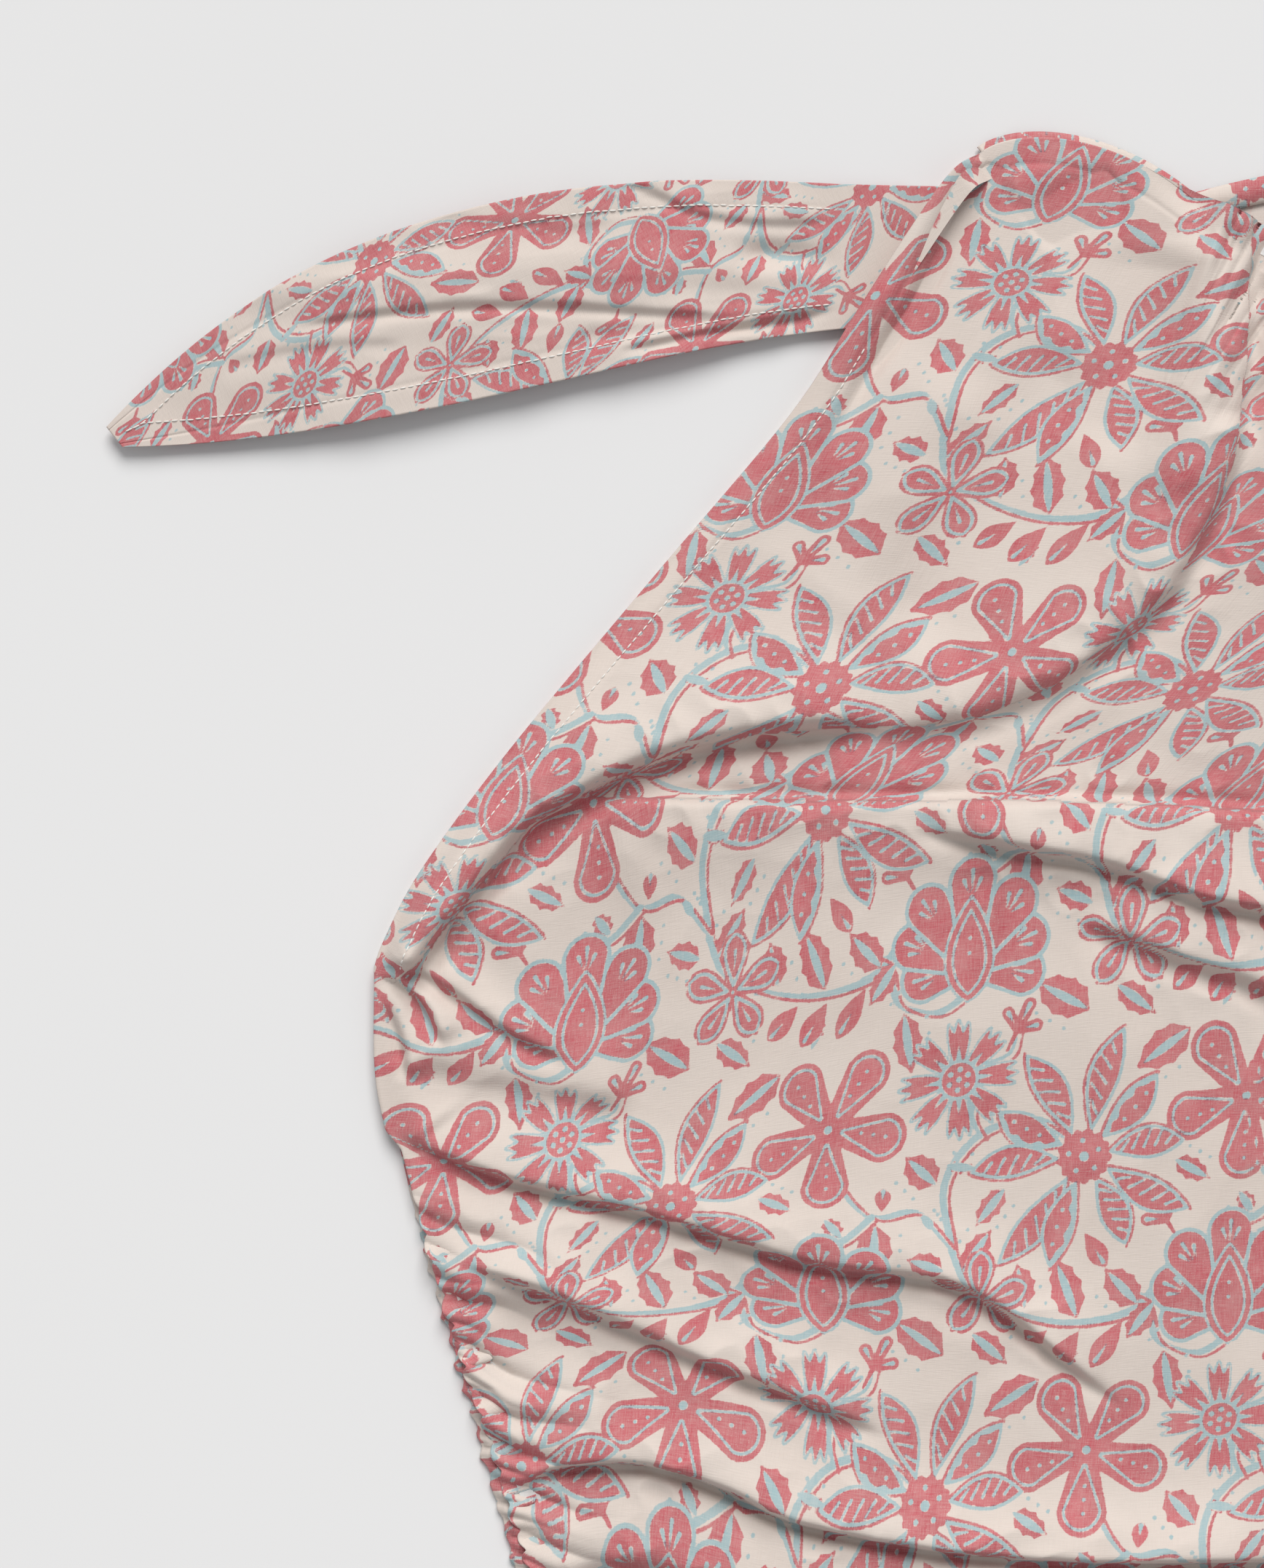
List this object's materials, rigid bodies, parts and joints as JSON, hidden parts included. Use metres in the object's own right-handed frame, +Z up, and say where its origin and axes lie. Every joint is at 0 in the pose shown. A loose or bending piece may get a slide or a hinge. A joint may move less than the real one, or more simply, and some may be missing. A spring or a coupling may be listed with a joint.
{
  "type": "patient gown",
  "caption": "Sleeveless printed cotton gown with neck ties, ruched side seams and a lapped back opening, lying flat with its front up.",
  "frame": {"origin": "middle of the gown's box, on the surface it lies on", "axes": "+Y from hem to neck, +X to the right when looking at the front, +Z up out of the front"},
  "size_m": [0.86, 0.959, 0.0213],
  "materials": {
    "printed_cotton": "plain-weave cotton with a two-colour block print, matt",
    "elastic": "flat knitted elastic, matt",
    "cotton_tape": "woven tape, matt"
  },
  "bodies": {
    "gown": {"front_panel": "printed_cotton", "back_panel_left": "printed_cotton", "back_panel_right": "printed_cotton", "back_neck_binding_left": "printed_cotton", "back_neck_binding_right": "printed_cotton", "neck_elastic": "elastic", "front_neck_casing": "printed_cotton", "front_armhole_facing_left": "printed_cotton", "front_armhole_facing_right": "printed_cotton", "back_armhole_facing_left": "printed_cotton", "back_armhole_facing_right": "printed_cotton", "side_elastic_left": "elastic", "side_elastic_right": "elastic", "neck_tie_sewn_end_left": "printed_cotton", "neck_tie_sewn_end_right": "printed_cotton", "care_label": "cotton_tape"},
    "tie_left": {"neck_tie_left": "printed_cotton"},
    "tie_right": {"neck_tie_right": "printed_cotton"}
  },
  "joints": [
    {"name": "tie_lift_left", "type": "hinge", "parent": "gown", "child": "tie_left", "pos_m": [-0.201, 0.4427, 0.008], "axis": [0, 1, 0], "range_deg": [0, 150]},
    {"name": "tie_lift_right", "type": "hinge", "parent": "gown", "child": "tie_right", "pos_m": [0.201, 0.4427, 0.008], "axis": [0, -1, 0], "range_deg": [0, 150]}
  ]
}
